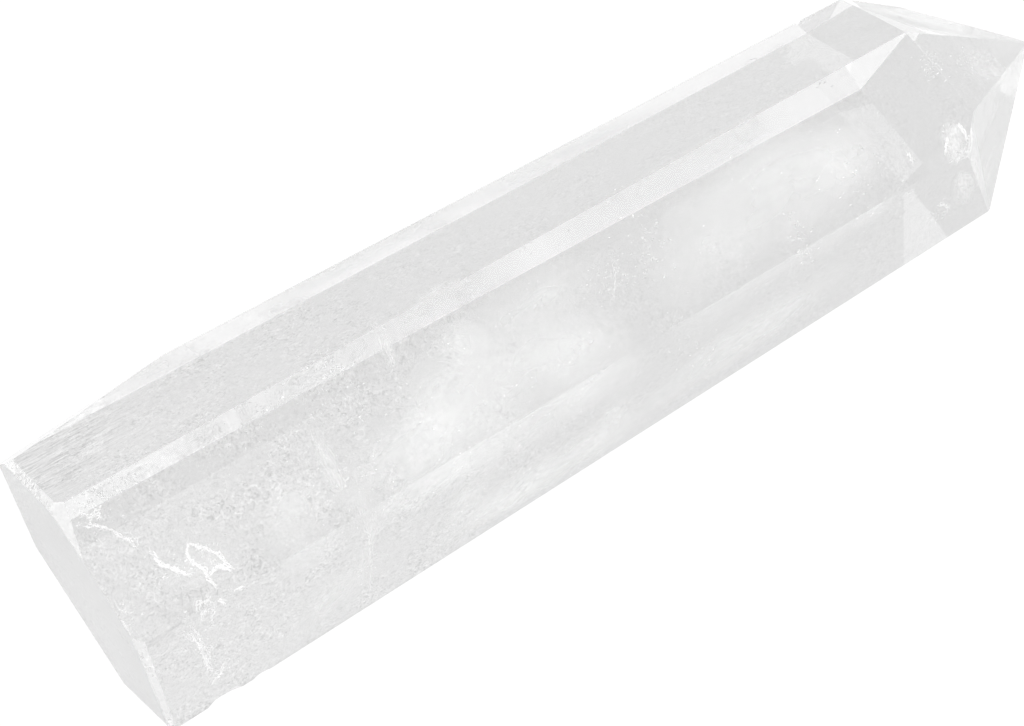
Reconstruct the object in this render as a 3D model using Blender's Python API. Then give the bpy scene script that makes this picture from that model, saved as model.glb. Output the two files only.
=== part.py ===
"""A clear quartz point: a six-sided crystal with a flat ground base, lying on one of its sides.

The crystal is first set out about its own long axis, which runs along +X from the middle of the
base to the tip. Every flat face is a Facet. Its azimuth is the side it faces, turned about the axis
from +Z (0 degrees) towards +Y (90 degrees). Its lean is how far the face turns towards the tip
(above 0) or towards the base (below 0). The finished crystal is then laid down on its resting side,
with the middle of its outline at the origin and the surface it lies on at Z = 0.
"""
import math
from collections import namedtuple

import bmesh
import bpy
from mathutils import Matrix, Vector

MM = 0.001

# Overall size, in millimetres
LENGTH = 80.4
TIP_OFFSET_Y = 0.15
TIP_OFFSET_Z = -2.1
BLOCK_WIDTH = 40.0

# Wear along the edges, in millimetres
EDGE_WEAR = 0.12
EDGE_ANGLE = 12.0

# A face meets the plane of the base at its distance from the axis, in millimetres.
Facet = namedtuple("Facet", "azimuth lean distance")

SIDES = {
    "top": Facet(azimuth=-3.0, lean=2.35, distance=10.45),
    "back_upper": Facet(azimuth=56.5, lean=1.7, distance=9.95),
    "back_lower": Facet(azimuth=123.5, lean=1.4, distance=9.65),
    "resting": Facet(azimuth=180.0, lean=0.4, distance=9.4),
    "front_lower": Facet(azimuth=-113.0, lean=1.25, distance=9.85),
    "front_upper": Facet(azimuth=-60.5, lean=1.5, distance=9.85),
}

# The base is ground a little out of square: how far it turns towards +Y and towards +Z, in degrees.
BASE_TURN_Y = -1.7
BASE_TURN_Z = -0.7

# Uneven bevels ground round the base, wide at two corners and missing along the top side.
BASE_BEVELS = {
    "back_upper": Facet(azimuth=56.0, lean=-45.0, distance=9.75),
    "top_back_corner": Facet(azimuth=10.7, lean=-45.0, distance=10.65),
    "front_upper": Facet(azimuth=-60.7, lean=-45.0, distance=9.2),
    "front_lower": Facet(azimuth=-115.7, lean=-45.0, distance=9.05),
    "resting": Facet(azimuth=184.0, lean=-45.0, distance=8.95),
    "back_lower": Facet(azimuth=123.5, lean=-45.0, distance=9.55),
}

# The long edge at the back is ground away where it nears the base.
BACK_EDGE_TRIM = Facet(azimuth=80.0, lean=-4.4, distance=10.2)

# A face of the tip passes the tip at its clearance, in millimetres.
TipFacet = namedtuple("TipFacet", "azimuth lean clearance")

TIP_FACETS = {
    "top": TipFacet(azimuth=6.1, lean=40.6, clearance=0.0),
    "back_upper": TipFacet(azimuth=54.0, lean=37.3, clearance=0.0),
    "back_lower": TipFacet(azimuth=118.0, lean=45.0, clearance=0.2),
    "resting": TipFacet(azimuth=175.0, lean=28.2, clearance=0.0),
    "front_lower": TipFacet(azimuth=-100.0, lean=39.8, clearance=0.0),
    "front_upper": TipFacet(azimuth=-49.4, lean=38.5, clearance=0.0),
}

# A shell-shaped chip on an edge: where the edge is along the axis, its azimuth and its distance from
# the axis there, the lean of the chip, how deep it is and how round its hollow is, in millimetres.
# A hollow that is stretched is longer along the axis than across it.
Chip = namedtuple("Chip", "along azimuth edge_distance lean depth hollow_radius stretch")

CHIPS = {
    "base_edge_front": Chip(along=-0.15, azimuth=-20.6, edge_distance=10.97, lean=-40.0,
                            depth=0.26, hollow_radius=1.2, stretch=1.0),
    "front_edge_near_base": Chip(along=4.6, azimuth=-87.0, edge_distance=10.85, lean=0.0,
                                 depth=0.34, hollow_radius=1.4, stretch=1.5),
    "front_edge_small": Chip(along=7.5, azimuth=-87.0, edge_distance=10.8, lean=0.0,
                             depth=0.15, hollow_radius=0.9, stretch=1.4),
    "shoulder_front": Chip(along=67.7, azimuth=-34.0, edge_distance=8.98, lean=25.0,
                           depth=0.2, hollow_radius=1.1, stretch=1.2),
}
CHIP_TILT = 14.0
CHIP_DETAIL = 4

QUARTZ_COLOUR = (0.93, 0.94, 0.94, 1.0)
QUARTZ_ROUGHNESS = 0.04
QUARTZ_IOR = 1.544


def clear_scene():
    """Remove every object that the file opened with."""
    for item in list(bpy.data.objects):
        bpy.data.objects.remove(item, do_unlink=True)


def across(azimuth):
    """The direction square to the axis that an azimuth names."""
    angle = math.radians(azimuth)
    return Vector((0.0, math.sin(angle), math.cos(angle)))


def facing(azimuth, lean):
    """The outward direction of a face."""
    angle = math.radians(lean)
    return math.cos(angle) * across(azimuth) + math.sin(angle) * Vector((1.0, 0.0, 0.0))


def tip():
    """The very end of the crystal, where its end faces meet."""
    return Vector((LENGTH, TIP_OFFSET_Y, TIP_OFFSET_Z))


def base_facing():
    """The outward direction of the flat base."""
    turn_y = math.radians(BASE_TURN_Y)
    turn_z = math.radians(BASE_TURN_Z)
    return Vector((-1.0, turn_y, turn_z)).normalized()


def grind(mesh, point, outward):
    """Take away all that lies outside a plane and close the mesh with a flat face."""
    everything = list(mesh.verts) + list(mesh.edges) + list(mesh.faces)
    cut = bmesh.ops.bisect_plane(mesh, geom=everything, dist=1e-7, plane_co=point * MM,
                                 plane_no=outward, clear_outer=True)
    rim = [item for item in cut["geom_cut"] if isinstance(item, bmesh.types.BMEdge)]
    if rim:
        bmesh.ops.edgeloop_fill(mesh, edges=rim)


def grind_from_base(mesh, facet):
    """Grind a face that is set out by where it meets the plane of the base."""
    grind(mesh, facet.distance * across(facet.azimuth), facing(facet.azimuth, facet.lean))


def grind_tip_facet(mesh, facet):
    """Grind one face of the tip."""
    outward = facing(facet.azimuth, facet.lean)
    grind(mesh, tip() + facet.clearance * outward, outward)


def start_block(mesh):
    """A block that holds the whole crystal."""
    bmesh.ops.create_cube(mesh, size=1.0)
    size = Vector((LENGTH * 1.5, BLOCK_WIDTH, BLOCK_WIDTH)) * MM
    bmesh.ops.scale(mesh, vec=size, verts=mesh.verts)
    bmesh.ops.translate(mesh, vec=(LENGTH * MM / 2, 0.0, 0.0), verts=mesh.verts)


def laid_down():
    """The turn that brings the resting side level and facing down."""
    resting = SIDES["resting"]
    outward = facing(resting.azimuth, resting.lean)
    return outward.rotation_difference(Vector((0.0, 0.0, -1.0))).to_matrix().to_4x4()


def settled(corners):
    """Lay the crystal down, centre its outline on the origin and bring it to Z = 0."""
    turned = [laid_down() @ corner for corner in corners]
    lows = [min(corner[axis] for corner in turned) for axis in range(3)]
    highs = [max(corner[axis] for corner in turned) for axis in range(3)]
    middle = Vector(((lows[0] + highs[0]) / 2, (lows[1] + highs[1]) / 2, lows[2]))
    return Matrix.Translation(-middle) @ laid_down()


def crystal_mesh():
    """The ground crystal about its own axis, as one closed mesh of flat faces."""
    mesh = bmesh.new()
    start_block(mesh)
    for side in SIDES.values():
        grind_from_base(mesh, side)
    for facet in TIP_FACETS.values():
        grind_tip_facet(mesh, facet)
    grind(mesh, Vector((0.0, 0.0, 0.0)), base_facing())
    grind_from_base(mesh, BACK_EDGE_TRIM)
    for bevel in BASE_BEVELS.values():
        grind_from_base(mesh, bevel)
    bmesh.ops.recalc_face_normals(mesh, faces=mesh.faces)
    return mesh


def quartz_material():
    """Clear colourless quartz."""
    material = bpy.data.materials.new("clear_quartz")
    material.use_nodes = True
    surface = material.node_tree.nodes["Principled BSDF"]
    surface.inputs["Base Color"].default_value = QUARTZ_COLOUR
    surface.inputs["Roughness"].default_value = QUARTZ_ROUGHNESS
    surface.inputs["Metallic"].default_value = 0.0
    surface.inputs["IOR"].default_value = QUARTZ_IOR
    surface.inputs["Transmission Weight"].default_value = 1.0
    return material


def add_object(name, mesh, material=None):
    """Turn a bmesh into an object of the scene."""
    data = bpy.data.meshes.new(name)
    mesh.to_mesh(data)
    mesh.free()
    if material:
        data.materials.append(material)
    item = bpy.data.objects.new(name, data)
    bpy.context.scene.collection.objects.link(item)
    return item


def chip_cutter(name, chip, placing):
    """A stretched ball that bites a shell-shaped hollow out of an edge."""
    mesh = bmesh.new()
    bmesh.ops.create_icosphere(mesh, subdivisions=CHIP_DETAIL, radius=chip.hollow_radius * MM)
    bmesh.ops.scale(mesh, vec=(chip.stretch, 1.0, 1.0), verts=mesh.verts)
    tilt = Matrix.Rotation(math.radians(CHIP_TILT), 4, across(chip.azimuth))
    centre = chip.edge_distance * across(chip.azimuth)
    centre.x = chip.along
    centre += (chip.hollow_radius - chip.depth) * facing(chip.azimuth, chip.lean)
    place = placing @ Matrix.Translation(centre * MM) @ tilt
    bmesh.ops.transform(mesh, matrix=place, verts=mesh.verts)
    cutter = add_object(name, mesh)
    cutter.hide_render = True
    cutter.display_type = "WIRE"
    return cutter


def wear_edges(crystal):
    """Take the sharpness off every edge."""
    wear = crystal.modifiers.new("edge_wear", "BEVEL")
    wear.width = EDGE_WEAR * MM
    wear.segments = 1
    wear.limit_method = "ANGLE"
    wear.angle_limit = math.radians(EDGE_ANGLE)


def chip_edges(crystal, placing):
    """Bite the chips out of the crystal."""
    for name, chip in CHIPS.items():
        cut = crystal.modifiers.new(name, "BOOLEAN")
        cut.operation = "DIFFERENCE"
        cut.solver = "EXACT"
        cut.object = chip_cutter("chip_" + name, chip, placing)


def build_quartz_point():
    """The whole crystal, lying on its resting side."""
    mesh = crystal_mesh()
    placing = settled([vert.co.copy() for vert in mesh.verts])
    bmesh.ops.transform(mesh, matrix=placing, verts=mesh.verts)
    crystal = add_object("quartz_point", mesh, quartz_material())
    wear_edges(crystal)
    chip_edges(crystal, placing)


clear_scene()
build_quartz_point()
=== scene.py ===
"""The look of a clear quartz point lying on a white surface, seen from nearly straight above.

The crystal itself is the frame's own solid with a clear glassy finish, greyed by painted shade. Its
flaws are separate pieces inside it, all with a painted glow: milky clouds, sheets of tiny bubbles,
cracks and bright wisps.
"""
import math
import random
from collections import namedtuple

import bpy
from mathutils import Matrix, Vector, noise
from mathutils.bvhtree import BVHTree


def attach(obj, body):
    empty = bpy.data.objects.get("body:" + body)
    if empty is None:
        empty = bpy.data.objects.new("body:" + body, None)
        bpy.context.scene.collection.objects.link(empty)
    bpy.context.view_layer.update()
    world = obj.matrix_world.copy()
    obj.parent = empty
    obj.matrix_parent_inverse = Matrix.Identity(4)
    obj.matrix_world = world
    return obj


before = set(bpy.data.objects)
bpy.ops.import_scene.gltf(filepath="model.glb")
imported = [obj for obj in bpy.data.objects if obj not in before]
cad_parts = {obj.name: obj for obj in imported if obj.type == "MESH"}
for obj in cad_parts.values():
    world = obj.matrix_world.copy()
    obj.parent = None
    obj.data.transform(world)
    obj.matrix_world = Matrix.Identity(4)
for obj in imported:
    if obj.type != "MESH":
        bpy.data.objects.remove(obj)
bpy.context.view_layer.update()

MM = 0.001
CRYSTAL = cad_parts["quartz_point"]
ALONG = Vector((1.0, 0.0, 0.0))
UP = Vector((0.0, 0.0, 1.0))
WHITE = (1.0, 1.0, 1.0, 1.0)

# The camera of the photograph: its place in millimetres, its directions in the row frame
CAMERA_PLACE = (-65.21, -18.62, 237.92)
CAMERA_LOOK = (0.2484, 0.0728, -0.9659)
CAMERA_UP = (0.4903, 0.8506, 0.1902)
CAMERA_LENS = 120.0
SENSOR_WIDTH = 36.0
IMAGE_WIDTH = 1024
IMAGE_HEIGHT = 726

# How near to the camera things may be and still be seen, in metres
CAMERA_NEAR = 0.01

# The white surface, the soft light all round and a broad lamp overhead, a little to the base's side.
# The lamp is full within its inner cosine from its middle and gone outside its outer one.
FLOOR_SIZE = 3.0
FLOOR_DROP = 0.03
FLOOR_COLOUR = (0.10, 0.10, 0.10, 1.0)
FLOOR_GLOW = 0.90
SKY_STRENGTH = 1.28
LAMP_STRENGTH = 3.0
LAMP_DIRECTION = (-0.35, 0.0, 0.94)
LAMP_INNER = 0.93
LAMP_OUTER = 0.80

# How often light may bounce
MAX_BOUNCES = 12
TRANSMISSION_BOUNCES = 12
GLOSSY_BOUNCES = 10
DIFFUSE_BOUNCES = 4
TRANSPARENT_BOUNCES = 32

# Quartz: how it bends light, how smooth each kind of face is, and its faint grey. A face is ground
# where it is turned to the base or the tip: fully so at the second cosine, not at all at the first.
QUARTZ_IOR = 1.544
POLISHED_ROUGHNESS = 0.01
GROUND_ROUGHNESS = 0.35
GROUND_FACING = (0.66, 0.95)
QUARTZ_TINT = (0.72, 0.72, 0.72, 1.0)
QUARTZ_DENSITY = 5.0

# What each passage through a face lets by. Its grey is painted shade, standing in for the shade of
# the floor under the crystal as seen through it
PAINTED_SHADE_CLARITY = 0.745

# The fine squiggles in the faces: how many there are to a metre, how far they are twisted and how
# far from its middle the noise makes a faint mark and a full one
GRAIN_SCALE = 2600.0
GRAIN_DETAIL = 1.0
GRAIN_TWIST = 1.5
GRAIN_MARKS = (0.08, 0.17)

# The squiggles come in patches: how many patches there are to a metre, the noise where they start
# and where they are full, and how much a squiggle takes away in the clearest and the busiest ones
PATCH_SCALE = 260.0
PATCH_DETAIL = 3.0
PATCH_RANGE = (0.42, 0.62)
GRAIN_FAINT = 0.05
GRAIN_STRONG = 0.22

# What a bright mark adds, as a share of what a dark one takes away
BRIGHT_SHARE = 0.9

# Squiggles are strong near the base and faint beyond it, between these two places along X
GRAIN_FADE_X = (-0.022, -0.002)
GRAIN_FAR_SHARE = 0.35

# The bevels round the base are frosted: the part that scatters light, where along X they start, and
# the cosines to the crystal's length between which a face counts as slanting and as the base itself
FROST = 0.34
FROST_START_X = (-0.0375, -0.0385)
SLANTING_FACING = (0.60, 0.66)
BASE_FACING = (0.76, 0.84)

# Grinding scratches beside the ground edge near the base, in metres of the row frame
SCRATCH_SCALE = (600.0, 5000.0, 5000.0)
SCRATCH_DETAIL = 2.0
SCRATCH_MARKS = (0.03, 0.14)
SCRATCH_END_X = (-0.036, -0.030)
SCRATCH_START_Y = (0.0045, 0.0075)
SCRATCH_DEPTH = 0.24

# How close a flaw may come to the outside of the crystal, and how far inside the surface a line of
# sight is followed on from, in millimetres
SKIN = 0.25
SIGHT_START = 0.01

# A milky cloud: where the photograph shows its middle, how deep it lies under that point, its
# length and width in millimetres, how it is turned about the vertical and tipped, in degrees, and
# how dense it is.
Cloud = namedtuple("Cloud", "pixel depth length width turn tip density")

CLOUDS = {
    "bright_middle": Cloud((462, 402), 5.0, 12.0, 9.0, 10.0, 12.0, 0.6),
    "upper_middle": Cloud((525, 312), 3.5, 14.0, 5.0, 3.0, 0.0, 0.45),
    "upper_far": Cloud((745, 178), 3.0, 15.0, 4.5, 0.0, 0.0, 0.4),
    "bright_middle_upper": Cloud((462, 345), 6.0, 5.0, 5.0, 60.0, 20.0, 0.5),
    "middle_left": Cloud((405, 458), 5.0, 13.0, 6.0, 5.0, -5.0, 0.6),
    "middle_link": Cloud((520, 375), 7.0, 20.0, 8.0, 0.0, -10.0, 0.45),
    "near_base": Cloud((294, 516), 5.0, 6.5, 5.5, 35.0, 10.0, 0.5),
    "middle_right": Cloud((580, 352), 5.0, 9.0, 6.0, -20.0, 12.0, 0.45),
    "beyond_middle": Cloud((700, 250), 6.0, 11.0, 8.0, 15.0, -12.0, 0.45),
    "far_bright": Cloud((785, 190), 5.0, 17.0, 8.0, 0.0, 8.0, 0.55),
    "far_edge": Cloud((842, 160), 6.0, 6.0, 7.0, 70.0, 15.0, 0.5),
    "front_middle": Cloud((466, 504), 2.5, 6.0, 3.4, 40.0, 30.0, 0.65),
    "front_middle_right": Cloud((513, 494), 2.5, 8.0, 3.4, 5.0, 30.0, 0.65),
    "front_wide": Cloud((560, 464), 3.0, 24.0, 4.0, 0.0, 30.0, 0.6),
    "front_right": Cloud((614, 420), 2.5, 6.0, 3.4, 50.0, 25.0, 0.6),
    "front_far": Cloud((750, 333), 3.0, 20.0, 4.2, 5.0, 35.0, 0.65),
    "front_near_base": Cloud((330, 598), 2.5, 11.0, 3.6, 10.0, 35.0, 0.45),
    "tip_feather": Cloud((953, 139), 1.3, 3.0, 1.8, 75.0, 10.0, 1.0),
    "tip_shoulder": Cloud((964, 188), 1.8, 4.8, 2.2, 88.0, 10.0, 0.9),
    "tip_light": Cloud((988, 66), 1.2, 6.0, 3.6, -10.0, 15.0, 0.9),
    "cross_veil": Cloud((330, 465), 3.0, 7.0, 1.7, 85.0, 10.0, 0.6),
    "cross_veil_low": Cloud((368, 550), 2.5, 7.5, 1.2, 62.0, 10.0, 0.6),
    "ridge_veil": Cloud((389, 352), 2.5, 3.0, 0.9, 80.0, 10.0, 0.7),
    "leaf_veil": Cloud((200, 567), 3.8, 5.0, 2.2, 0.0, 10.0, 0.35),
}

# A cloud is a few sheets at these heights, each a grid of so many squares a side with a share of
# the cloud's density. Where a sheet is thinner than the least density it is left out.
CLOUD_GRID = 44
CLOUD_LAYERS = (-0.5, 0.5)
CLOUD_LAYER_SHARE = 0.7
CLOUD_THINNEST = 0.004

# A sheet's ripples and patches: how high the ripples are in millimetres, how many waves lie between
# the middle and the edge, and the roughness, the step and the number of octaves of their noise
CLOUD_RIPPLE = 0.15
RIPPLE_WAVES = 1.6
RIPPLE_NOISE = (0.9, 2.0, 3)
PATCH_WAVES = 1.3
PATCH_NOISE = (0.8, 2.1, 4)
PATCH_MIDDLE = 0.75
PATCH_SWING = 0.5
CLOUD_FADE = 1.3

# How far apart in the noise the clouds, their layers and their patches are drawn
CLOUD_SHIFT = 13.0
LAYER_SHIFT = 5.0
PATCH_SHIFT = 7.0

# The milky white, and the fine grain that makes it thinner and thicker
MILK_COLOUR = (0.98, 0.98, 0.98, 1.0)
MILK_ROUGHNESS = 0.7
MILK_GRAIN_SCALE = 300.0
MILK_GRAIN_DETAIL = 1.0
MILK_GRAIN_RANGE = (0.36, 0.62)
MILK_SPREAD = (0.8, 1.1)

# Bubbles: how many to a square millimetre, their radius and how far they lie from the sheet, both in
# millimetres, how much they vary in size, and how far they are stretched each way
BUBBLE_SEED = 5
BUBBLES_PER_AREA = 4.0
BUBBLE_RADIUS = 0.03
BUBBLE_SCATTER = 0.35
BUBBLE_SIZES = (0.5, 1.5)
BUBBLE_STRETCH = ((0.7, 1.8), (0.6, 1.2), (0.3, 0.8))
BUBBLE_ROUGHNESS = 0.5

# An eight-sided body of radius 1
OCTAHEDRON = ((1, 0, 0), (-1, 0, 0), (0, 1, 0), (0, -1, 0), (0, 0, 1), (0, 0, -1))
OCTAHEDRON_FACES = ((0, 2, 4), (2, 1, 4), (1, 3, 4), (3, 0, 4),
                    (2, 0, 5), (1, 2, 5), (3, 1, 5), (0, 3, 5))

# Small curved cracks that half mirror the light: where the photograph shows their middle, how deep
# they lie, how far they are spread round that place, how many there are and how large, in
# millimetres.
Flakes = namedtuple("Flakes", "pixel depth spread count size")

FLAKES = {
    "leaf": Flakes((205, 562), 3.3, 1.4, 50, 0.13),
    "leaf_tail": Flakes((170, 567), 3.4, 1.4, 40, 0.12),
    "front_chip": Flakes((222, 668), 1.2, 1.5, 110, 0.12),
    "front_streaks": Flakes((200, 645), 2.0, 1.8, 70, 0.12),
    "corner": Flakes((92, 522), 1.6, 1.7, 90, 0.12),
    "base_edge": Flakes((124, 612), 0.9, 1.2, 70, 0.11),
    "near_ridge": Flakes((345, 400), 3.0, 3.2, 90, 0.11),
    "near_ridge_low": Flakes((270, 452), 3.0, 3.6, 90, 0.10),
    "cross_crack": Flakes((340, 480), 4.5, 2.0, 70, 0.12),
    "cross_crack_low": Flakes((368, 560), 2.5, 1.4, 50, 0.11),
    "front_low": Flakes((255, 600), 2.5, 3.2, 110, 0.10),
    "middle": Flakes((640, 250), 4.5, 2.4, 80, 0.12),
    "middle_far": Flakes((610, 280), 4.0, 1.8, 70, 0.12),
    "front_middle": Flakes((690, 350), 2.5, 2.6, 60, 0.11),
    "far": Flakes((800, 232), 3.0, 1.0, 30, 0.13),
    "tip_line": Flakes((965, 60), 1.5, 1.6, 60, 0.12),
    "tip_line_near": Flakes((935, 62), 1.8, 1.0, 50, 0.12),
    "tip_mottle": Flakes((874, 178), 3.0, 3.6, 60, 0.11),
    "tip_leaf": Flakes((953, 138), 1.4, 0.6, 40, 0.15),
    "shoulder": Flakes((938, 214), 1.4, 1.2, 50, 0.12),
}

# A flake's mesh: its curve as a share of its size, its thickness and that of its rim in millimetres,
# its rings and sides, how much it varies in size, how narrow it is and how ragged its rim is
FLAKE_SEED = 3
FLAKE_CURVE = 0.25
FLAKE_THICKNESS = 0.012
FLAKE_RIM = 0.001
FLAKE_RINGS = 2
FLAKE_SIDES = 7
FLAKE_SIZES = (0.4, 1.4)
FLAKE_WIDTHS = (0.15, 0.5)
FLAKE_REACHES = (0.7, 1.25)
FLAKE_UPWARD_SPREAD = 0.5

# The silver of a crack: its colour, how much it mirrors and the uneven roughness of its faces
CRACK_COLOUR = (0.98, 0.98, 0.98, 1.0)
CRACK_METALLIC = 0.6
CRACK_GRAIN_SCALE = 3000.0
CRACK_GRAIN_DETAIL = 2.0
CRACK_GRAIN_RANGE = (0.35, 0.65)
CRACK_ROUGHNESS = (0.15, 0.45)

# A wisp: the points of the photograph that it runs through, how deep it lies and how wide it is,
# in millimetres.
Wisp = namedtuple("Wisp", "pixels depth width")

WISPS = {
    "leaf_left": Wisp(((151, 552), (160, 561), (178, 571), (192, 577)), 3.5, 0.30),
    "leaf_top": Wisp(((188, 543), (196, 545), (209, 550), (222, 558), (233, 569)), 3.2, 0.26),
    "leaf_inner": Wisp(((188, 543), (187, 553), (193, 562), (201, 569), (208, 578), (220, 589)),
                       3.6, 0.26),
    "leaf_tail": Wisp(((208, 574), (219, 566), (233, 569)), 3.4, 0.28),
    "front_streak": Wisp(((184, 631), (193, 640), (202, 651), (209, 667), (219, 674)), 1.2, 0.28),
    "front_streak_beside": Wisp(((189, 624), (199, 636), (207, 650), (212, 664)), 1.2, 0.18),
    "front_hook": Wisp(((211, 684), (219, 675), (224, 662)), 1.0, 0.34),
    "front_fan_1": Wisp(((200, 624), (204, 612), (207, 602)), 1.6, 0.14),
    "front_fan_2": Wisp(((209, 626), (213, 614), (215, 604)), 1.6, 0.14),
    "corner_squiggle_1": Wisp(((78, 512), (88, 516), (98, 511), (101, 522)), 1.6, 0.14),
    "corner_squiggle_2": Wisp(((84, 528), (96, 525), (108, 529), (118, 533)), 2.0, 0.16),
    "corner_squiggle_3": Wisp(((112, 528), (122, 536), (133, 541), (137, 550)), 2.4, 0.16),
    "cross_crack": Wisp(((308, 430), (320, 450), (335, 467), (350, 493)), 3.0, 0.05),
    "cross_crack_low": Wisp(((363, 520), (368, 540), (372, 570), (370, 594)), 2.5, 0.06),
    "far_crack": Wisp(((613, 257), (616, 280), (612, 306)), 4.0, 0.05),
    "tip_leaf_left": Wisp(((944, 154), (947, 142), (953, 132), (957, 124)), 1.6, 0.28),
    "tip_leaf_right": Wisp(((957, 124), (963, 131), (967, 143), (962, 151)), 1.6, 0.22),
    "tip_spark": Wisp(((907, 153), (911, 157), (914, 163)), 2.5, 0.14),
    "shoulder_spark": Wisp(((938, 206), (944, 203), (950, 208)), 1.2, 0.22),
}

# A wisp's strands: how many there are, how far apart they run and how far each point strays, in
# millimetres, and how wide one is as a share of the wisp
WISP_SEED = 11
WISP_STEPS = 10
WISP_JITTER = 0.06
WISP_STRANDS = 3
WISP_STRAND_WIDTH = 0.45
WISP_SPREAD = 0.10
WISP_ROUGHNESS = 0.3

# A strand's shape: its least width, how soon it is full, how ragged its sides are and how thick it
# is as a share of its width
STRAND_LEAST = 0.12
STRAND_FULLNESS = 0.6
STRAND_WIDTHS = (0.45, 1.25)
STRAND_THICKNESS = 0.35

# The uneven white of bubbles and wisps
WHITE_GRAIN_SCALE = 2500.0
WHITE_GRAIN_DETAIL = 3.0
WHITE_GRAIN_RANGE = (0.3, 0.7)
WHITE_SHADES = (0.93, 1.0)

# How much painted glow each kind of flaw gives off, though none of them is a lamp
WISP_PAINTED_GLOW = 0.33
BUBBLE_PAINTED_GLOW = 0.5
CRACK_PAINTED_GLOW = 0.15
CLOUD_PAINTED_GLOW = 0.28


def new_material(name):
    """A node material with no nodes yet."""
    material = bpy.data.materials.new(name)
    material.use_nodes = True
    material.node_tree.nodes.clear()
    return material


def add_node(material, kind, values=None, **settings):
    """Add a shader node, set its inputs by name and its other settings."""
    node = material.node_tree.nodes.new(kind)
    for name, value in settings.items():
        setattr(node, name, value)
    for name, value in (values or {}).items():
        node.inputs[name].default_value = value
    return node


def link(material, out_socket, in_socket):
    """Join two sockets."""
    material.node_tree.links.new(out_socket, in_socket)


def calculate(material, operation, first, second):
    """A Math node of two values or sockets, and its result."""
    node = add_node(material, "ShaderNodeMath", operation=operation)
    for socket, value in zip(node.inputs, (first, second)):
        if isinstance(value, (int, float)):
            socket.default_value = value
        else:
            link(material, value, socket)
    return node.outputs["Value"]


def ramp(material, value, start, end, low=0.0, high=1.0):
    """Bring a value from one range to another, held at both ends."""
    node = add_node(material, "ShaderNodeMapRange", {
        "From Min": start, "From Max": end, "To Min": low, "To Max": high,
    })
    link(material, value, node.inputs["Value"])
    return node.outputs["Result"]


def object_place(material):
    """The place of a shaded point on its own object."""
    return add_node(material, "ShaderNodeTexCoord").outputs["Object"]


def split(material, vector):
    """The X, Y and Z of a place or a direction."""
    parts = add_node(material, "ShaderNodeSeparateXYZ")
    link(material, vector, parts.inputs["Vector"])
    return parts.outputs


def grain(material, place, scale, detail, twist=0.0):
    """Fine noise at a scale in grains to the metre."""
    node = add_node(material, "ShaderNodeTexNoise", {
        "Scale": scale, "Detail": detail, "Distortion": twist,
    })
    link(material, place, node.inputs["Vector"])
    return node.outputs["Fac"]


def dark_and_bright(material, noise_value, inner, outer):
    """Sparse dark marks (above 0) and bright ones (below 0) from the two ends of a noise."""
    dark = ramp(material, noise_value, 0.5 + inner, 0.5 + outer)
    bright = ramp(material, noise_value, 0.5 - inner, 0.5 - outer, 0.0, BRIGHT_SHARE)
    return calculate(material, "SUBTRACT", dark, bright)


def mottling(material, place):
    """How much light the squiggles in the faces take away, more near the base and in patches."""
    squiggles = grain(material, place, GRAIN_SCALE, GRAIN_DETAIL, GRAIN_TWIST)
    marks = dark_and_bright(material, squiggles, *GRAIN_MARKS)
    patches = grain(material, place, PATCH_SCALE, PATCH_DETAIL)
    strength = ramp(material, patches, *PATCH_RANGE, GRAIN_FAINT, GRAIN_STRONG)
    parts = split(material, place)
    near_base = ramp(material, parts["X"], *GRAIN_FADE_X, 1.0, GRAIN_FAR_SHARE)
    strength = calculate(material, "MULTIPLY", strength, near_base)
    return calculate(material, "MULTIPLY", marks, strength)


def scratches(material, place):
    """How much light the grinding scratches beside the ground edge take away."""
    stretched = add_node(material, "ShaderNodeMapping", {"Scale": SCRATCH_SCALE})
    link(material, place, stretched.inputs["Vector"])
    lines = grain(material, stretched.outputs["Vector"], 1.0, SCRATCH_DETAIL)
    marks = dark_and_bright(material, lines, *SCRATCH_MARKS)
    parts = split(material, place)
    near_base = ramp(material, parts["X"], *SCRATCH_END_X, 1.0, 0.0)
    near_edge = ramp(material, parts["Y"], *SCRATCH_START_Y, 0.0, SCRATCH_DEPTH)
    zone = calculate(material, "MULTIPLY", near_base, near_edge)
    return calculate(material, "MULTIPLY", marks, zone)


def see_through(material, place, facing_base):
    """How far a face is see-through: fully, apart from the frosted bevels round the base."""
    near_base = ramp(material, split(material, place)["X"], *FROST_START_X, 0.0, FROST)
    slanting = ramp(material, facing_base, *SLANTING_FACING)
    not_base = ramp(material, facing_base, *BASE_FACING, 1.0, 0.0)
    frosted = calculate(material, "MULTIPLY", near_base,
                        calculate(material, "MULTIPLY", slanting, not_base))
    return calculate(material, "SUBTRACT", 1.0, frosted)


def facing_ends(material):
    """How far a face is turned to the base or to the tip, from 0 to 1."""
    geometry = add_node(material, "ShaderNodeNewGeometry")
    facing = add_node(material, "ShaderNodeMath", operation="ABSOLUTE")
    link(material, split(material, geometry.outputs["Normal"])["X"], facing.inputs[0])
    return facing.outputs["Value"]


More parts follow.
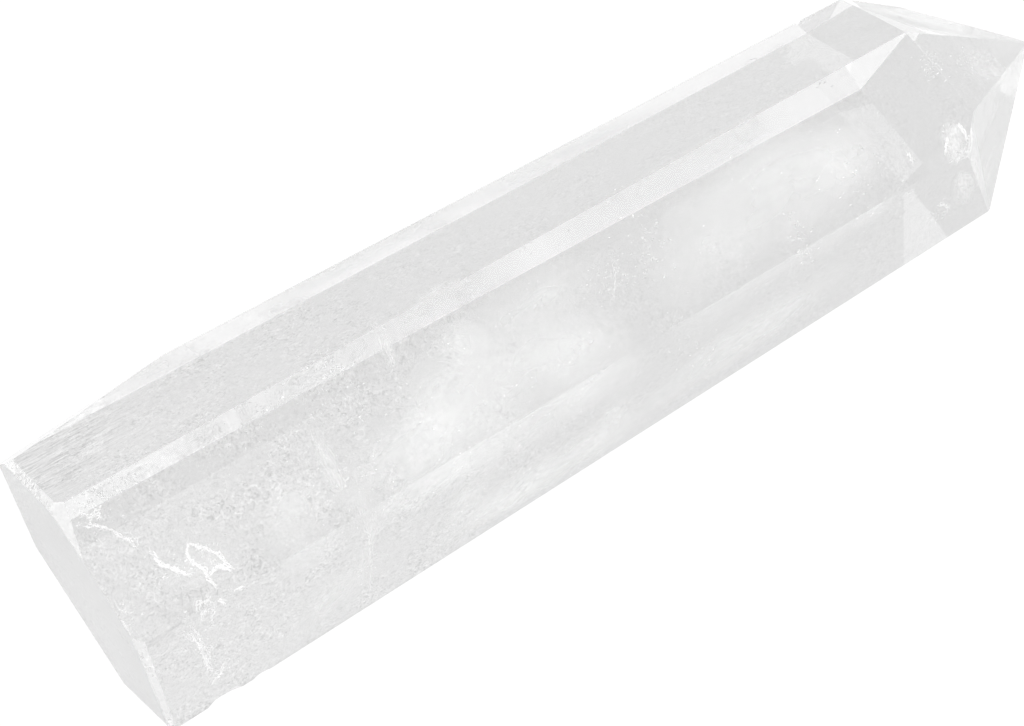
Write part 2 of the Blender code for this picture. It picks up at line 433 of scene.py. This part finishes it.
def quartz_material():
    """Clear quartz greyed with painted shade: polished sides, faintly mottled, and a ground base with
    softer bevels.
    """
    material = new_material("clear_quartz")
    output = add_node(material, "ShaderNodeOutputMaterial")
    surface = add_node(material, "ShaderNodeBsdfPrincipled", {"IOR": QUARTZ_IOR})
    place = object_place(material)
    taken = calculate(material, "ADD", mottling(material, place), scratches(material, place))
    # The faces' colour starts from painted shade, a grey for the shaded floor seen through the crystal
    clear = calculate(material, "SUBTRACT", PAINTED_SHADE_CLARITY, taken)
    link(material, clear, surface.inputs["Base Color"])
    facing = facing_ends(material)
    roughness = ramp(material, facing, *GROUND_FACING, POLISHED_ROUGHNESS, GROUND_ROUGHNESS)
    link(material, roughness, surface.inputs["Roughness"])
    link(material, see_through(material, place, facing), surface.inputs["Transmission Weight"])
    inside_quartz = add_node(material, "ShaderNodeVolumeAbsorption", {
        "Color": QUARTZ_TINT,
        "Density": QUARTZ_DENSITY,
    })
    link(material, surface.outputs["BSDF"], output.inputs["Surface"])
    link(material, inside_quartz.outputs["Volume"], output.inputs["Volume"])
    return material


def milk_material():
    """White milkiness with a painted glow, that thins out where a sheet's density falls, broken up by
    fine grain.
    """
    material = new_material("milky_cloud")
    output = add_node(material, "ShaderNodeOutputMaterial")
    # The emission is a painted glow that makes the cloud brighter than its lighting would
    surface = add_node(material, "ShaderNodeBsdfPrincipled", {
        "Base Color": MILK_COLOUR,
        "Roughness": MILK_ROUGHNESS,
        "Specular IOR Level": 0.0,
        "Emission Color": WHITE,
        "Emission Strength": CLOUD_PAINTED_GLOW,
    })
    fine = grain(material, object_place(material), MILK_GRAIN_SCALE, MILK_GRAIN_DETAIL)
    spread = ramp(material, fine, *MILK_GRAIN_RANGE, *MILK_SPREAD)
    density = add_node(material, "ShaderNodeAttribute", attribute_name="milkiness")
    alpha = calculate(material, "MULTIPLY", density.outputs["Fac"], spread)
    link(material, alpha, surface.inputs["Alpha"])
    link(material, surface.outputs["BSDF"], output.inputs["Surface"])
    return material


def white_material(name, roughness, glow):
    """The white of a bubble or a wisp, a little uneven.

    The glow is painted light: emission that makes the flaw brighter, though it is no lamp.
    """
    material = new_material(name)
    output = add_node(material, "ShaderNodeOutputMaterial")
    # The emission here is a painted glow
    surface = add_node(material, "ShaderNodeBsdfPrincipled", {
        "Roughness": roughness,
        "Emission Color": WHITE,
        "Emission Strength": glow,
    })
    fine = grain(material, object_place(material), WHITE_GRAIN_SCALE, WHITE_GRAIN_DETAIL)
    shade = ramp(material, fine, *WHITE_GRAIN_RANGE, *WHITE_SHADES)
    link(material, shade, surface.inputs["Base Color"])
    link(material, surface.outputs["BSDF"], output.inputs["Surface"])
    return material


def crack_material():
    """The silvery inside of a small open crack, which half mirrors the light and has a painted glow.
    """
    material = new_material("crack_silver")
    output = add_node(material, "ShaderNodeOutputMaterial")
    # The emission is a painted glow on the crack
    surface = add_node(material, "ShaderNodeBsdfPrincipled", {
        "Base Color": CRACK_COLOUR,
        "Metallic": CRACK_METALLIC,
        "Emission Color": WHITE,
        "Emission Strength": CRACK_PAINTED_GLOW,
    })
    fine = grain(material, object_place(material), CRACK_GRAIN_SCALE, CRACK_GRAIN_DETAIL)
    roughness = ramp(material, fine, *CRACK_GRAIN_RANGE, *CRACK_ROUGHNESS)
    link(material, roughness, surface.inputs["Roughness"])
    link(material, surface.outputs["BSDF"], output.inputs["Surface"])
    return material


def dress_crystal():
    """Give the crystal its finish."""
    CRYSTAL.data.materials.clear()
    CRYSTAL.data.materials.append(quartz_material())
    for face in CRYSTAL.data.polygons:
        face.use_smooth = False


def camera_turn():
    """The camera's right, up and back directions as a rotation."""
    back = -Vector(CAMERA_LOOK).normalized()
    right = Vector(CAMERA_UP).cross(back).normalized()
    up = back.cross(right)
    return Matrix((right, up, back)).transposed()


def sight_line(pixel):
    """The direction from the camera through a point of the photograph."""
    focal = CAMERA_LENS / SENSOR_WIDTH * IMAGE_WIDTH
    across = pixel[0] - IMAGE_WIDTH / 2
    upward = IMAGE_HEIGHT / 2 - pixel[1]
    return (camera_turn() @ Vector((across, upward, -focal))).normalized()


def solid_tree():
    """The crystal's outside, ready for rays."""
    corners = [vert.co.copy() for vert in CRYSTAL.data.vertices]
    faces = [tuple(face.vertices) for face in CRYSTAL.data.polygons]
    return BVHTree.FromPolygons(corners, faces)


SOLID = solid_tree()


def bent(direction, outward):
    """A ray's direction after it has entered the quartz."""
    ratio = 1.0 / QUARTZ_IOR
    cosine = -direction.dot(outward)
    inner = math.sqrt(1.0 - ratio * ratio * (1.0 - cosine * cosine))
    return (ratio * direction + (ratio * cosine - inner) * outward).normalized()


def inside(pixel, depth):
    """The place inside the crystal that the photograph shows at a pixel, at a depth in millimetres."""
    start = Vector(CAMERA_PLACE) * MM
    entry, outward, _, _ = SOLID.ray_cast(start, sight_line(pixel))
    if entry is None:
        raise ValueError(f"the crystal isn't seen at {pixel}")
    direction = bent(sight_line(pixel), outward)
    leaving, _, _, length = SOLID.ray_cast(entry + direction * SIGHT_START * MM, direction)
    longest = length - SKIN * MM if leaving is not None else 0.0
    return entry + direction * min(depth * MM, longest)


def room_at(place):
    """How far a place is inside the crystal's outside, in metres; below 0 when it is outside it."""
    nearest, outward, _, distance = SOLID.find_nearest(place)
    return distance if (place - nearest).dot(outward) < 0 else -distance


def scatter(draw, upward=1.0):
    """A random step in any direction, with its own spread along Z."""
    return Vector((draw.gauss(0, 1), draw.gauss(0, 1), draw.gauss(0, upward)))


def random_turn(draw):
    """A turn by any angle about any axis."""
    axis = Vector((draw.uniform(-1, 1), draw.uniform(-1, 1), draw.uniform(-1, 1))).normalized()
    return Matrix.Rotation(draw.uniform(0, math.tau), 3, axis)


def add_piece(name, corners, faces, material, density=None):
    """A mesh piece that rides with the crystal."""
    data = bpy.data.meshes.new(name)
    data.from_pydata(corners, [], faces)
    data.materials.append(material)
    if density:
        layer = data.attributes.new("milkiness", "FLOAT", "POINT")
        layer.data.foreach_set("value", density)
        data.shade_smooth()
    data.update()
    item = bpy.data.objects.new(name, data)
    bpy.context.scene.collection.objects.link(item)
    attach(item, "root")
    return item


def cloud_turn(cloud):
    """The rotation of a cloud's sheet."""
    turn = Matrix.Rotation(math.radians(cloud.turn), 3, UP)
    tip = Matrix.Rotation(math.radians(cloud.tip), 3, ALONG)
    return turn @ tip


def sheet_noise(along, across, shift, waves, kind):
    """Smooth noise over a sheet."""
    return noise.fractal(Vector((along * waves, across * waves, shift)), *kind)


def cloud_point(cloud, centre, across, along, shift):
    """A point of a cloud's rippled sheet and how dense it is there, from -1 to 1 each way."""
    ripple = sheet_noise(along, across, shift, RIPPLE_WAVES, RIPPLE_NOISE)
    flat = Vector((along * cloud.length / 2, across * cloud.width / 2,
                   ripple * CLOUD_RIPPLE))
    place = centre + cloud_turn(cloud) @ flat * MM
    reach = math.hypot(along, across)
    patchy = sheet_noise(along, across, shift + PATCH_SHIFT, PATCH_WAVES, PATCH_NOISE)
    fade = max(0.0, 1.0 - reach ** 2) ** CLOUD_FADE
    dense = cloud.density * fade * max(0.0, min(1.0, PATCH_MIDDLE + PATCH_SWING * patchy))
    return place, dense


def sheet_faces(first, corners, density):
    """The quads of one sheet's grid that are dense enough to see and lie inside the crystal."""
    faces = []
    stride = CLOUD_GRID + 1
    keeps = [density[index] > CLOUD_THINNEST and room_at(corners[index]) > SKIN * MM
             for index in range(first, first + stride * stride)]
    for row in range(CLOUD_GRID):
        for column in range(CLOUD_GRID):
            start = row * stride + column
            ring = (start, start + 1, start + stride + 1, start + stride)
            if all(keeps[index] for index in ring):
                faces.append(tuple(first + index for index in ring))
    return faces


def add_sheet(corners, faces, density, cloud, centre, shift):
    """One rippled sheet whose density fades to nothing at its edge."""
    first = len(corners)
    for row in range(CLOUD_GRID + 1):
        for column in range(CLOUD_GRID + 1):
            across = row / CLOUD_GRID * 2 - 1
            along = column / CLOUD_GRID * 2 - 1
            place, dense = cloud_point(cloud, centre, across, along, shift)
            corners.append(place)
            density.append(dense)
    faces += sheet_faces(first, corners, density)


def cloud_sheets():
    """Every milky cloud, as a few sheets one over another."""
    corners, faces, density = [], [], []
    for number, cloud in enumerate(CLOUDS.values()):
        middle = inside(cloud.pixel, cloud.depth)
        for layer, height in enumerate(CLOUD_LAYERS):
            centre = middle + cloud_turn(cloud) @ UP * height * MM
            thinner = cloud._replace(density=cloud.density * CLOUD_LAYER_SHARE)
            add_sheet(corners, faces, density, thinner, centre,
                      number * CLOUD_SHIFT + layer * LAYER_SHIFT)
    return corners, faces, density


def without_loose(corners, faces, density):
    """Drop the points that no face uses."""
    used = sorted({index for face in faces for index in face})
    place = {old: new for new, old in enumerate(used)}
    kept_faces = [tuple(place[index] for index in face) for face in faces]
    return [corners[index] for index in used], kept_faces, [density[index] for index in used]


def add_bubble(corners, faces, place, radius, draw):
    """One tiny bubble: a small eight-sided body, stretched and turned at random."""
    turn = random_turn(draw)
    stretch = Vector([draw.uniform(*limits) for limits in BUBBLE_STRETCH])
    first = len(corners)
    for corner in OCTAHEDRON:
        shaped = Vector(corner) * radius
        shaped = Vector((shaped.x * stretch.x, shaped.y * stretch.y, shaped.z * stretch.z))
        corners.append(place + turn @ shaped)
    faces += [tuple(first + index for index in face) for face in OCTAHEDRON_FACES]


def cloud_bubbles():
    """Tiny bubbles scattered over every cloud's sheet, more where it is denser."""
    draw = random.Random(BUBBLE_SEED)
    corners, faces = [], []
    for number, cloud in enumerate(CLOUDS.values()):
        centre = inside(cloud.pixel, cloud.depth)
        for _ in range(int(BUBBLES_PER_AREA * cloud.length * cloud.width)):
            across, along = draw.uniform(-1, 1), draw.uniform(-1, 1)
            place, dense = cloud_point(cloud, centre, across, along, number * CLOUD_SHIFT)
            place = place + UP * draw.gauss(0.0, BUBBLE_SCATTER) * MM
            radius = BUBBLE_RADIUS * MM * draw.uniform(*BUBBLE_SIZES)
            if draw.random() < dense and room_at(place) > SKIN * MM:
                add_bubble(corners, faces, place, radius, draw)
    return corners, faces


def smooth_route(points):
    """Points of a smooth curve through the given ones."""
    route = []
    ends = [2 * points[0] - points[1], *points, 2 * points[-1] - points[-2]]
    for before, start, end, after in zip(ends, ends[1:], ends[2:], ends[3:]):
        for step in range(WISP_STEPS):
            share = step / WISP_STEPS
            pull = (end - before) / 2
            push = (after - start) / 2
            route.append(start * (2 * share ** 3 - 3 * share ** 2 + 1)
                         + pull * (share ** 3 - 2 * share ** 2 + share)
                         + end * (3 * share ** 2 - 2 * share ** 3)
                         + push * (share ** 3 - share ** 2))
    route.append(points[-1])
    return route


def wisp_strands(wisp, draw):
    """The routes of a wisp's strands, which run side by side and apart."""
    for _ in range(WISP_STRANDS):
        points = []
        for pixel in wisp.pixels:
            away = scatter(draw)
            points.append(inside(pixel, wisp.depth) + away * WISP_SPREAD * MM)
        yield smooth_route(points)


def add_strand(corners, faces, route, width, draw):
    """A closed flat strand, ragged along its sides and narrow at both ends."""
    first = len(corners)
    last = len(route) - 1
    for index, place in enumerate(route):
        ahead = (route[min(index + 1, last)] - route[max(index - 1, 0)]).normalized()
        side = ahead.cross(UP).normalized()
        share = index / last
        half = width / 2 * MM * (STRAND_LEAST + math.sin(math.pi * share) ** STRAND_FULLNESS)
        half *= draw.uniform(*STRAND_WIDTHS)
        middle = place + scatter(draw) * WISP_JITTER * MM
        corners += [middle + side * half, middle + UP * half * STRAND_THICKNESS,
                    middle - side * half, middle - UP * half * STRAND_THICKNESS]
    for index in range(last):
        ring = first + 4 * index
        for side_number in range(4):
            beside = (side_number + 1) % 4
            faces.append((ring + side_number, ring + beside,
                          ring + 4 + beside, ring + 4 + side_number))
    faces.append((first + 3, first + 2, first + 1, first))
    end = first + 4 * last
    faces.append((end, end + 1, end + 2, end + 3))


def wisps():
    """All the bright wisps as one mesh."""
    draw = random.Random(WISP_SEED)
    corners, faces = [], []
    for wisp in WISPS.values():
        for route in wisp_strands(wisp, draw):
            add_strand(corners, faces, route, wisp.width * WISP_STRAND_WIDTH, draw)
    return corners, faces


def add_flake(corners, faces, place, size, draw):
    """One small curved crack: a thin closed shell with a ragged rim."""
    turn = random_turn(draw)
    stretch = draw.uniform(*FLAKE_WIDTHS)
    first = len(corners)
    reaches = [draw.uniform(*FLAKE_REACHES) for _ in range(FLAKE_SIDES)]
    for side in (1, -1):
        for ring in range(1, FLAKE_RINGS + 1):
            share = ring / FLAKE_RINGS
            for step, reach in enumerate(reaches):
                angle = math.tau * step / FLAKE_SIDES
                flat = Vector((math.cos(angle), math.sin(angle) * stretch, 0)) * size * share * reach
                lift = FLAKE_CURVE * size * share ** 2
                thick = side * FLAKE_THICKNESS * (1 - share ** 2) + side * FLAKE_RIM
                corners.append(place + turn @ (flat + UP * (lift + thick)) * MM)
    sheet = FLAKE_RINGS * FLAKE_SIDES
    tops = [place + turn @ (UP * side * FLAKE_THICKNESS) * MM for side in (1, -1)]
    corners += tops
    for number in range(2):
        add_flake_side(faces, first + number * sheet, first + 2 * sheet + number, number == 1)
    outer = first + (FLAKE_RINGS - 1) * FLAKE_SIDES
    for step in range(FLAKE_SIDES):
        beside = (step + 1) % FLAKE_SIDES
        faces.append((outer + step, outer + sheet + step, outer + sheet + beside, outer + beside))


def add_flake_side(faces, first, middle, flipped):
    """The faces of one side of a flake, from its middle to its rim."""
    side_faces = []
    for step in range(FLAKE_SIDES):
        beside = (step + 1) % FLAKE_SIDES
        side_faces.append((middle, first + step, first + beside))
        for ring in range(FLAKE_RINGS - 1):
            inner = first + ring * FLAKE_SIDES
            outer = inner + FLAKE_SIDES
            side_faces.append((inner + step, outer + step, outer + beside, inner + beside))
    faces += [tuple(reversed(face)) for face in side_faces] if flipped else side_faces


def crack_flakes():
    """All the small mirror-like cracks as one mesh."""
    draw = random.Random(FLAKE_SEED)
    corners, faces = [], []
    for group in FLAKES.values():
        centre = inside(group.pixel, group.depth)
        for _ in range(group.count):
            away = scatter(draw, FLAKE_UPWARD_SPREAD)
            place = centre + away * group.spread / 2 * MM
            size = group.size * draw.uniform(*FLAKE_SIZES)
            if room_at(place) > (SKIN + size) * MM:
                add_flake(corners, faces, place, size, draw)
    return corners, faces


def flaws():
    """Everything that shows inside the crystal."""
    corners, faces, density = without_loose(*cloud_sheets())
    add_piece("milky_clouds", corners, faces, milk_material(), density)
    corners, faces = crack_flakes()
    add_piece("crack_flakes", corners, faces, crack_material())
    corners, faces = cloud_bubbles()
    bubble_white = white_material("bubble_white", BUBBLE_ROUGHNESS, BUBBLE_PAINTED_GLOW)
    add_piece("bubble_veils", corners, faces, bubble_white)
    corners, faces = wisps()
    add_piece("bright_wisps", corners, faces, white_material("wisp_white", WISP_ROUGHNESS, WISP_PAINTED_GLOW))


def floor_material():
    """White that scatters a little light and glows with the rest."""
    material = new_material("white_floor")
    output = add_node(material, "ShaderNodeOutputMaterial")
    surface = add_node(material, "ShaderNodeBsdfDiffuse", {"Color": FLOOR_COLOUR})
    glow = add_node(material, "ShaderNodeEmission", {"Strength": FLOOR_GLOW})
    both = add_node(material, "ShaderNodeAddShader")
    link(material, surface.outputs["BSDF"], both.inputs[0])
    link(material, glow.outputs["Emission"], both.inputs[1])
    link(material, both.outputs["Shader"], output.inputs["Surface"])
    return material


def floor():
    """A plain white surface under the crystal."""
    half = FLOOR_SIZE / 2
    corners = [(-half, -half, 0), (half, -half, 0), (half, half, 0), (-half, half, 0)]
    data = bpy.data.meshes.new("floor")
    data.from_pydata(corners, [], [(0, 1, 2, 3)])
    item = bpy.data.objects.new("floor", data)
    item.location.z = -FLOOR_DROP * MM
    bpy.context.scene.collection.objects.link(item)
    data.materials.append(floor_material())


def sky():
    """Soft light from all round, stronger from a broad lamp overhead."""
    world = bpy.data.worlds.new("studio")
    world.use_nodes = True
    world.cycles.sampling_method = "NONE"
    background = world.node_tree.nodes["Background"]
    background.inputs["Color"].default_value = WHITE
    place = add_node(world, "ShaderNodeTexCoord")
    towards_lamp = add_node(world, "ShaderNodeVectorMath", operation="DOT_PRODUCT")
    towards_lamp.inputs[1].default_value = Vector(LAMP_DIRECTION).normalized()
    lamp = add_node(world, "ShaderNodeMapRange", {
        "From Min": LAMP_OUTER, "From Max": LAMP_INNER,
        "To Min": SKY_STRENGTH, "To Max": LAMP_STRENGTH,
    }, interpolation_type="SMOOTHSTEP")
    link(world, place.outputs["Generated"], towards_lamp.inputs[0])
    link(world, towards_lamp.outputs["Value"], lamp.inputs["Value"])
    link(world, lamp.outputs["Result"], background.inputs["Strength"])
    bpy.context.scene.world = world


def camera():
    """The photograph's camera."""
    data = bpy.data.cameras.new("camera")
    data.lens = CAMERA_LENS
    data.sensor_width = SENSOR_WIDTH
    data.clip_start = CAMERA_NEAR
    item = bpy.data.objects.new("camera", data)
    bpy.context.scene.collection.objects.link(item)
    place = Matrix.Translation(Vector(CAMERA_PLACE) * MM)
    item.matrix_world = place @ camera_turn().to_4x4()
    bpy.context.scene.camera = item


def light_settings():
    """Plain display colours, and enough bounces for light to cross the crystal many times."""
    scene = bpy.context.scene
    scene.view_settings.view_transform = "Standard"
    scene.cycles.max_bounces = MAX_BOUNCES
    scene.cycles.transmission_bounces = TRANSMISSION_BOUNCES
    scene.cycles.glossy_bounces = GLOSSY_BOUNCES
    scene.cycles.diffuse_bounces = DIFFUSE_BOUNCES
    scene.cycles.transparent_max_bounces = TRANSPARENT_BOUNCES


dress_crystal()
flaws()
floor()
sky()
camera()
light_settings()
